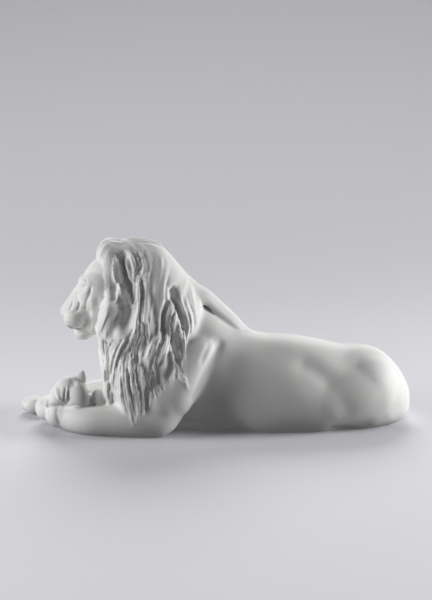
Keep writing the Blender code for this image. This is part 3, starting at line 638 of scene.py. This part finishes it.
# over the crown and down the neck: half width, height, then x and y
crown = [
    (5, 1.8, [(-148, y * 0.45), (-130, y), (-106, y * 1.1), (-84, y * 1.15)])
    for y in (-18, -9, 0, 9, 18)
]
crown += [
    (8, 0.7, [(-106, y), (-82, y * 1.1), (-50, y * 1.1), (-16, y * 0.8)])
    for y in (-18, -4, 12, 22)
]
crown += [
    (2.4, 1.2, [(-130, y), (-112, y * 1.1), (-96, y * 1.2), (-82, y * 1.2)])
    for y in (-20, -11, -3, 4, 12, 21)
]
crown += [(7, 4.5, [(-116, 0), (-98, 1), (-82, 1), (-64, 0)])]
for i, (half_width, height, run) in enumerate(crown):
    drawn = spline(run, STEPS)
    sway = 1.6 * np.sin(drawn[:, 0] / 8 + 2 * i)
    starts = np.stack([drawn[:, 0], drawn[:, 1] + sway, np.full(STEPS, FAR_OFF)], 1)
    places, normals = cast_rays(under_tree, starts, np.tile((0, 0, -1), (STEPS, 1)))
    hair.append(lock(places, normals, half_width, height))


# The cub: a small round head with its chin on the lion's near paw, and a body that lies between the
# forelegs and under the breast.

CUB_HEAD_AT = (-189, -33, 50)
CUB_YAW = 22
CUB_PITCH = 22
CUB_ROLL = 30
cub_place = (
    Matrix.Translation(CUB_HEAD_AT)
    @ Matrix.Rotation(math.radians(180 - CUB_YAW), 4, "Z")
    @ Matrix.Rotation(math.radians(CUB_PITCH), 4, "Y")
    @ Matrix.Rotation(math.radians(CUB_ROLL), 4, "X")
)
cub_skull = moved(
    [
        ball((-4, 0, 0), (22, 20, 19)),
        ball((8, 0, -3), (18, 16, 15)),
        tube([(6, 0, 5, 8, 7), (18, 0, 0, 7, 6.5), (26, 0, -4, 6.5, 6), (30, 0, -6, 5, 5)]),
        ball((19, 0, -11), (13, 12, 9)),
        ball((20, 0, -15), (10, 9, 6)),
    ]
    + pair(ball, (24, 5, -10), (9, 7.5, 7))
    + pair(ball, (2, 12, -8), (15, 9, 12)),
    cub_place,
)
near_cheek = ball((-177, -46, 43), (13, 20, 24), (0, 0, 51))
CUB_VOXEL = 1.1
cub = [
    as_piece(fuse(cub_skull + [near_cheek], CUB_VOXEL, 8)),
    leaf((-176, -42, 60), (-168, -38, 80), (1, -0.2, 0), 9, 2.0, 2.5),
    leaf((-176, -14, 58), (-170, -6, 66), (1, 0.6, 0), 5.5, 1.8, 2),
    tube([(-180, -34, 48, 17, 16), (-164, -26, 34, 16, 17), (-146, -14, 26, 19, 22), (-120, 8, 20, 23, 24),
          (-96, 14, 18, 23, 24), (-78, 12, 16, 16, 18)]),
    ball((-147, -46, 44), (11, 11, 13)),
    ball((-160, -40, 34), (13, 14, 15)),
    tube([(-150, -10, 24, 9, 10), (-168, -2, 13, 8, 10), (-188, 10, 7, 7, 8), (-200, 14, 6, 8, 7)]),
    tube([(-146, 14, 22, 9, 10), (-164, 24, 12, 8, 10), (-184, 28, 7, 7, 8), (-196, 29, 6, 8, 7)]),
]


# Paws: broad and soft, four toes across the front of each, pressed together. The near paw turns in under
# the cub's chin.


def toes(wrist, tip, half_width, size, count=4):
    """Ellipsoids side by side across the front of a paw, set back towards its sides with the square of the
    distance across."""
    wrist, tip = np.array(wrist, float), np.array(tip, float)
    along = unit(tip - wrist)
    side = unit(np.cross(along, (0.0, 0.0, 1.0)))
    heading = math.degrees(math.atan2(along[1], along[0]))
    pieces = []
    for share in np.linspace(-1, 1, count):
        centre = tip + side * share * half_width - along * size * (0.55 * share**2 + 0.9)
        pieces.append(ball(centre, (size * 1.35, size * 0.72, size * 0.95), (0, 0, heading + 10 * share)))
    return pieces


paws = toes((-194, -30, 19), (-217, 19, 23), 16, 15.5)
paws += toes((-226, 55, 11), (-254, 55, 11.5), 13, 11)
paws += toes((122, 104, 9), (104, 106, 9), 10, 9.5)
paws += toes((62, 82, 8), (45, 90, 8), 9, 9)
paws += [
    ball((-203, -12, 21), (24, 23, 20), (0, 0, -60)),
    ball((-212, 3, 21), (22, 14, 16), (0, 0, -60)),
    ball((-231, 54, 11), (20, 18, 11), (0, 0, -6)),
]
paws = [as_piece(fuse(paws, FINE_VOXEL, 6))]


# The cast: everything is one slip-cast piece. The deep shadows are cut between the locks, the fine lines of
# face and fur are drawn with a point, the underside is ground flat, and the cast is fitted to the solid.

# radius and depth in parts, and the run on the side view
HOLLOWS = [
    (5, 14, [(122.5, 256), (124.5, 266), (126.5, 276), (128.5, 286), (131, 296)]),
    (2.0, 5, [(141, 259), (140.8, 266), (136.5, 273), (134.5, 281), (134, 290), (132, 301)]),
    (10, 12, [(126, 296), (129, 310), (126, 324)]),
    (7, 4, [(116, 312), (115, 324), (112, 334)]),
    (3, 4, [(115, 288), (114, 298)]),
    (2.2, 4, [(142, 284), (143, 294), (142, 308), (141.5, 320)]),
    (2.8, 6, [(168, 302), (165, 312), (163.8, 321), (164.5, 331)]),
    (4.4, 7, [(173, 290), (174, 298)]),
    (2.8, 6, [(176, 300), (179, 309), (182, 318), (184, 328)]),
    (3.4, 7, [(105, 343), (106.5, 355), (107.5, 367), (108, 378)]),
    (4, 7, [(174, 337), (175.5, 348), (177.5, 358)]),
    (6, 2, [(168, 364), (169, 376)]),
    (1.6, 2, [(157, 329), (157.5, 336)]),
    (1.6, 2, [(137.5, 356), (139, 363)]),
    (1.6, 2, [(137.5, 371), (138.5, 378)]),
    (1.6, 2, [(126.5, 366), (129, 375), (131, 384)]),
    (1.6, 2, [(147, 387), (147.6, 398), (147, 408)]),
    (1.6, 2, [(153.5, 377), (155.5, 389), (158, 395)]),
    (1.6, 2, [(161.8, 362), (161.3, 376), (163, 389)]),
    (3, 4, [(110, 386), (112, 396), (113, 402)]),
]
FACE_LINES = [
    (3.4, 1.1, [(82.5, 281), (86, 281.5), (89.5, 284)]),
    (3.2, -1.6, [(80.5, 288), (84, 286.5)]),
    (3.4, 1.0, [(85, 292), (87.5, 292.5)]),
    (2.2, -1.7, [(91, 288), (90.2, 293), (88.2, 298), (86.4, 303), (86, 308)]),
    (1.4, -1.8, [(72.8, 302), (71.8, 306), (69.8, 309.5)]),
    (3.0, 0.8, [(68, 305), (66, 311)]),
    (1.6, -1.8, [(79.6, 303), (79.3, 306.5), (78, 309)]),
    (2.4, -1.2, [(76, 311), (81, 309.8), (86, 311.5), (89.6, 316), (91, 322), (90.5, 328)]),
    (2.0, -3.0, [(70, 327), (74, 329.4), (79, 329.4), (84, 331), (89.5, 333.4)]),
    (1.6, -1.2, [(78.5, 332.8), (83, 334.2), (88, 335)]),
    (3.2, 1.2, [(93, 301), (93.6, 312), (94, 324), (92, 332)]),
    (2.4, -0.7, [(98, 298), (98, 304), (96.5, 310)]),
]
FINE_FACE_LINES = [
    (0.9, -1.5, [(79.8, 292.6), (82.3, 290.7), (85.6, 289.8), (89, 290.2), (90.8, 291.4)]),
    (0.9, -1.1, [(81, 288.6), (84.5, 286.4), (88.3, 286.8), (91, 288.8)]),
    (0.8, -0.8, [(65.5, 316.4), (72, 315.8), (80, 317), (87, 320.5)]),
    (0.8, -0.8, [(65.5, 319.3), (73, 319.2), (81, 320.7), (88, 324)]),
    (0.8, -0.8, [(67, 322.4), (74, 322.8), (82, 324.3), (88.5, 327)]),
    (0.8, -0.6, [(70, 325), (76, 325.8), (82, 327.2)]),
    (0.9, -1.0, [(104.5, 311), (102.5, 316), (101, 320)]),
    (0.9, -1.2, [(86, 279.5), (88.3, 283.5)]),
    (0.9, -1.0, [(81.6, 284), (83.2, 287.2)]),
]
# the cub's closed eye, mouth, cheek and brow
CUB_LINES = [
    (1.4, -1.1, [(66.4, 388), (65.2, 395), (64.4, 403)]),
    (1.2, 0.8, [(67.8, 386.5), (67.3, 394), (67, 400)]),
    (1.0, -0.7, [(69.4, 391), (69.3, 396), (69.6, 401)]),
    (1.4, -1.1, [(53.8, 393), (56, 397.5), (60.5, 402)]),
    (1.4, 0.8, [(56.5, 387), (57.5, 393), (59.5, 399)]),
    (1.3, -0.6, [(60.5, 388), (60.8, 394), (62, 399)]),
    (3.6, -1.3, [(73, 381.5), (74.5, 384)]),
    (1.4, -1.2, [(64, 405.5), (70, 406.4), (78, 405), (86, 406), (94, 405.5)]),
]
PAW_LINES = [
    (2.2, -0.8, [(49, 398), (48.5, 405), (50, 413)]),
    (2.4, -0.8, [(58, 408), (57.5, 415), (60, 423)]),
]
HAIRLINES = 480
CAST_VOXEL = 1.1
TRIANGLES = 190000


def largest_body(mesh):
    """Only the largest connected skin, as fusing can leave crumbs: each point takes the lowest number
    among its neighbours until nothing changes."""
    pairs = np.empty(len(mesh.edges) * 2, np.int32)
    mesh.edges.foreach_get("vertices", pairs)
    a, b = pairs.reshape(-1, 2).T
    label = np.arange(len(mesh.vertices))
    while True:
        before = label.copy()
        np.minimum.at(label, a, label[b])
        np.minimum.at(label, b, label[a])
        label = label[label]
        if np.array_equal(before, label):
            break
    names, counts = np.unique(label, return_counts=True)
    crumbs = set(np.flatnonzero(label != names[counts.argmax()]).tolist())
    if crumbs:
        work = bmesh.new()
        work.from_mesh(mesh)
        bmesh.ops.delete(work, geom=[v for v in work.verts if v.index in crumbs], context="VERTS")
        work.to_mesh(mesh)
        work.free()


def mirrored_in_head(points):
    """The places on the head's other side, reflected across the middle of its own frame."""
    turned, at = np.array(head_place.to_3x3()), np.array(head_place.translation)
    own = (points - at) @ turned
    return (own * (1, -1, 1)) @ turned.T + at


cast = fuse([as_piece(core), tongue()] + hair + head + cub + paws, CAST_VOXEL, 2)
largest_body(cast)
tree = tree_of(cast)
strokes(cast, [(radius, -depth, on_side(tree, spline(drawn, 3 * len(drawn)), side)[0])
               for radius, depth, drawn in HOLLOWS for side in (-1, 1)])
cast = fuse([as_piece(cast)], CAST_VOXEL, 1)
largest_body(cast)
tree = tree_of(cast)
line_rows = []
for radius, height, drawn in FACE_LINES + FINE_FACE_LINES:
    places = on_side(tree, spline(drawn, 3 * len(drawn)))[0]
    line_rows += [(radius, height, places), (radius, height, mirrored_in_head(places))]
for radius, height, drawn in CUB_LINES + PAW_LINES:
    line_rows.append((radius, height, on_side(tree, spline(drawn, 3 * len(drawn)))[0]))
for side in (-1, 1):
    for run, smooth in zip(*strands(chance, HAIRLINES)):
        height = (1.0 - 0.65 * smooth) * chance.choice((-1, 0.8))
        line_rows.append((1.0 + 0.5 * chance.random() + smooth, height, on_side(tree, run, side)[0]))
strokes(cast, line_rows)

points = points_of(cast)
low, high = points.min(0), points.max(0)
solid_low, solid_high = (np.array(corner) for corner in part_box("lion_and_cub"))
scale = (solid_high[0] - solid_low[0]) / (high[0] - low[0])
middle = (low + high) / 2 * (1, 1, 0)
solid_middle = (solid_low + solid_high) / 2 * (1, 1, 0)


def fitted(places):
    """Places in parts, scaled to the solid's length and set over the middle of its box."""
    return (places - middle) * scale + solid_middle


points = np.minimum(np.maximum(fitted(points), solid_low), solid_high)
cast.vertices.foreach_set("co", points.astype(np.float32).ravel())
cast.update()
whole = bpy.data.objects.new("whole_cast", cast)
bpy.context.scene.collection.objects.link(whole)
thin = whole.modifiers.new("thin", "DECIMATE")
thin.ratio = TRIANGLES / len(triangles_of(cast))
bpy.context.view_layer.update()
figure_mesh = bpy.data.meshes.new_from_object(whole.evaluated_get(bpy.context.evaluated_depsgraph_get()))
bpy.data.objects.remove(whole)
figure_mesh.name = "porcelain_lion"
figure_mesh.polygons.foreach_set("use_smooth", np.ones(len(figure_mesh.polygons), bool))
porcelain_lion = bpy.data.objects.new("porcelain_lion", figure_mesh)
bpy.context.scene.collection.objects.link(porcelain_lion)
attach(porcelain_lion, "root")
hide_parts("lion_and_cub")


# Bisque: unglazed white porcelain, fired matt, with the finest grain. Its white is a little uneven, and a
# trace of warm grey is painted into the cuts as shade, standing in for the shade that falls in the creases.


class Field:
    """A value on the surface: a socket whose arithmetic adds Math nodes to the material."""

    def __init__(self, material, socket):
        self.material, self.socket = material, socket

    def combine(self, operation, *others):
        return self.material.node("ShaderNodeMath", {"operation": operation}, (self, *others))

    def __add__(self, other):
        return self.combine("ADD", other)

    def __mul__(self, other):
        return self.combine("MULTIPLY", other)

    __radd__ = __add__


class Finish:
    """The node tree of a material or of the studio's air, whose nodes are added by one method."""

    def __init__(self, owner, shader="Principled BSDF"):
        owner.use_nodes = True
        self.owner = owner
        self.tree = owner.node_tree
        self.shader = self.tree.nodes[shader]

    def node(self, kind, settings=None, sockets=(), output=0):
        """Adds a node: its settings first, then values or links into its sockets, by place or by name."""
        made = self.tree.nodes.new(kind)
        for key, value in (settings or {}).items():
            setattr(made, key, value)
        named = sockets.items() if isinstance(sockets, dict) else enumerate(sockets)
        for key, value in named:
            self.feed(made.inputs[key], value)
        return Field(self, made.outputs[output])

    def feed(self, socket, value):
        if isinstance(value, Field):
            self.tree.links.new(value.socket, socket)
        else:
            socket.default_value = value


bisque = Finish(bpy.data.materials.new("bisque_porcelain"))
place = bisque.node("ShaderNodeTexCoord", output="Object")


def noise(scale, detail, roughness):
    sockets = {"Vector": place, "Scale": scale, "Detail": detail, "Roughness": roughness}
    return bisque.node("ShaderNodeTexNoise", {}, sockets)


cloud = noise(22.0, 3.0, 0.55)
grain = noise(1300.0, 2.0, 0.6)
ripple = noise(160.0, 3.0, 0.5)
edge = bisque.node("ShaderNodeNewGeometry", output="Pointiness")
# the creases, picked out by pointiness, where painted shade goes
cut = bisque.node(
    "ShaderNodeMapRange",
    {"clamp": True},
    {"Value": edge, "From Min": 0.485, "From Max": 0.40, "To Min": 0.0, "To Max": 1.0},
)
MIXED_COLOUR = 2
white = bisque.node(
    "ShaderNodeMix",
    {"data_type": "RGBA"},
    {"Factor": cloud, "A": (0.84, 0.838, 0.825, 1), "B": (0.875, 0.873, 0.862, 1)},
    output=MIXED_COLOUR,
)
# painted shade: the creases are mixed towards warm grey, darker where they are deeper
creases_with_painted_shade = bisque.node(
    "ShaderNodeMix",
    {"data_type": "RGBA"},
    {"Factor": cut * 0.3, "A": white, "B": (0.50, 0.49, 0.45, 1)},
    output=MIXED_COLOUR,
)
bump = bisque.node(
    "ShaderNodeBump",
    {},
    {"Height": grain * 0.35 + ripple, "Strength": 0.25, "Distance": 0.0004},
)
bisque.feed(bisque.shader.inputs["Base Color"], creases_with_painted_shade)
bisque.feed(bisque.shader.inputs["Roughness"], 0.52 + cloud * 0.1 + grain * 0.05)
bisque.feed(bisque.shader.inputs["Normal"], bump)
bisque.shader.inputs["Subsurface Weight"].default_value = 0.08
bisque.shader.inputs["Subsurface Radius"].default_value = (1.0, 0.8, 0.6)
bisque.shader.inputs["Subsurface Scale"].default_value = 0.002
figure_mesh.materials.clear()
figure_mesh.materials.append(bisque.owner)


# The studio: pale paper that lies under the figure and sweeps up behind it, a square softbox on each side, a
# long one that lights the backdrop, a broad window far behind, and a camera at the photograph's place.

SWEEP_FRONT, SWEEP_RUN, SWEEP_SIDE = 3.5, 1.2, 6
SWEEP_RADIUS, SWEEP_TURN = 3.5, math.radians(48)
angle = np.linspace(0, SWEEP_TURN, 24)
profile = np.vstack([
    np.stack([np.linspace(-SWEEP_FRONT, SWEEP_RUN, 12), np.zeros(12)], 1),
    np.stack([SWEEP_RUN + SWEEP_RADIUS * np.sin(angle[1:]), SWEEP_RADIUS * (1 - np.cos(angle[1:]))], 1),
])
across = np.linspace(-SWEEP_SIDE, SWEEP_SIDE, 7)
grid = np.stack([
    np.repeat(across[:, None], len(profile), 1),
    np.repeat(profile[None, :, 0], len(across), 0),
    np.repeat(profile[None, :, 1], len(across), 0),
], -1)
row, column = np.meshgrid(np.arange(len(across) - 1), np.arange(len(profile) - 1), indexing="ij")
corner = (row * len(profile) + column).ravel()
cells = np.stack([corner, corner + len(profile), corner + len(profile) + 1, corner + 1], 1)
sweep_mesh = bpy.data.meshes.new("studio_sweep")
sweep_mesh.from_pydata(grid.reshape(-1, 3).tolist(), [], cells.tolist())
sweep_mesh.polygons.foreach_set("use_smooth", np.ones(len(cells), bool))
studio_sweep = bpy.data.objects.new("studio_sweep", sweep_mesh)
bpy.context.scene.collection.objects.link(studio_sweep)
paper = Finish(bpy.data.materials.new("pale_paper"))
paper.shader.inputs["Base Color"].default_value = (0.82, 0.81, 0.859, 1)
paper.shader.inputs["Roughness"].default_value = 0.8
sweep_mesh.materials.append(paper.owner)
# the paper throws no soft light back at the figure
studio_sweep.visible_diffuse = False


def soft_light(name, place, aim, size, watts):
    lamp = bpy.data.lights.new(name, "AREA")
    lamp.shape = "RECTANGLE"
    lamp.size, lamp.size_y = size
    lamp.energy = watts
    holder = bpy.data.objects.new(name, lamp)
    holder.location = place
    holder.rotation_euler = (Vector(aim) - Vector(place)).to_track_quat("-Z", "Y").to_euler()
    bpy.context.scene.collection.objects.link(holder)


soft_light("left_softbox", (-2.1, -0.35, 0.6), (0, 0, 0.1), (1.0, 1.0), 37)
soft_light("right_softbox", (2.1, -0.05, 0.55), (0, 0, 0.1), (1.0, 1.0), 46)
soft_light("backdrop_softbox", (-0.5, 1.6, 1.7), (-0.8, 4.0, 0.5), (6.0, 0.6), 20)

# the window's light comes over the top of the backdrop
window = bpy.data.lights.new("back_window", "SUN")
window.energy = 1.6
window.angle = math.radians(35)
window_holder = bpy.data.objects.new("back_window", window)
window_holder.rotation_euler = Vector((0, -1, -0.65)).to_track_quat("-Z", "Y").to_euler()
bpy.context.scene.collection.objects.link(window_holder)

air = Finish(bpy.data.worlds.new("studio_air"), "Background")
direction = air.node("ShaderNodeTexCoord", output="Generated")
upward = air.node("ShaderNodeSeparateXYZ", {}, (direction,), output="Z")
air.feed(air.shader.inputs["Strength"], upward * -0.04 + 0.087)
air.shader.inputs["Color"].default_value = (0.98, 0.98, 1.0, 1)
bpy.context.scene.world = air.owner
bpy.context.scene.view_settings.view_transform = "Standard"

camera = bpy.data.cameras.new("photograph_camera")
camera.lens = 112
camera.sensor_width = 36
camera_holder = bpy.data.objects.new("photograph_camera", camera)
bpy.context.scene.collection.objects.link(camera_holder)
back = Vector(VIEW_BACK)
camera_holder.location = Vector(fitted(LOOK_AT)) + back * VIEW_DISTANCE * scale
camera_holder.rotation_mode = "QUATERNION"
camera_holder.rotation_quaternion = (-back).to_track_quat("-Z", "Y")
bpy.context.scene.camera = camera_holder
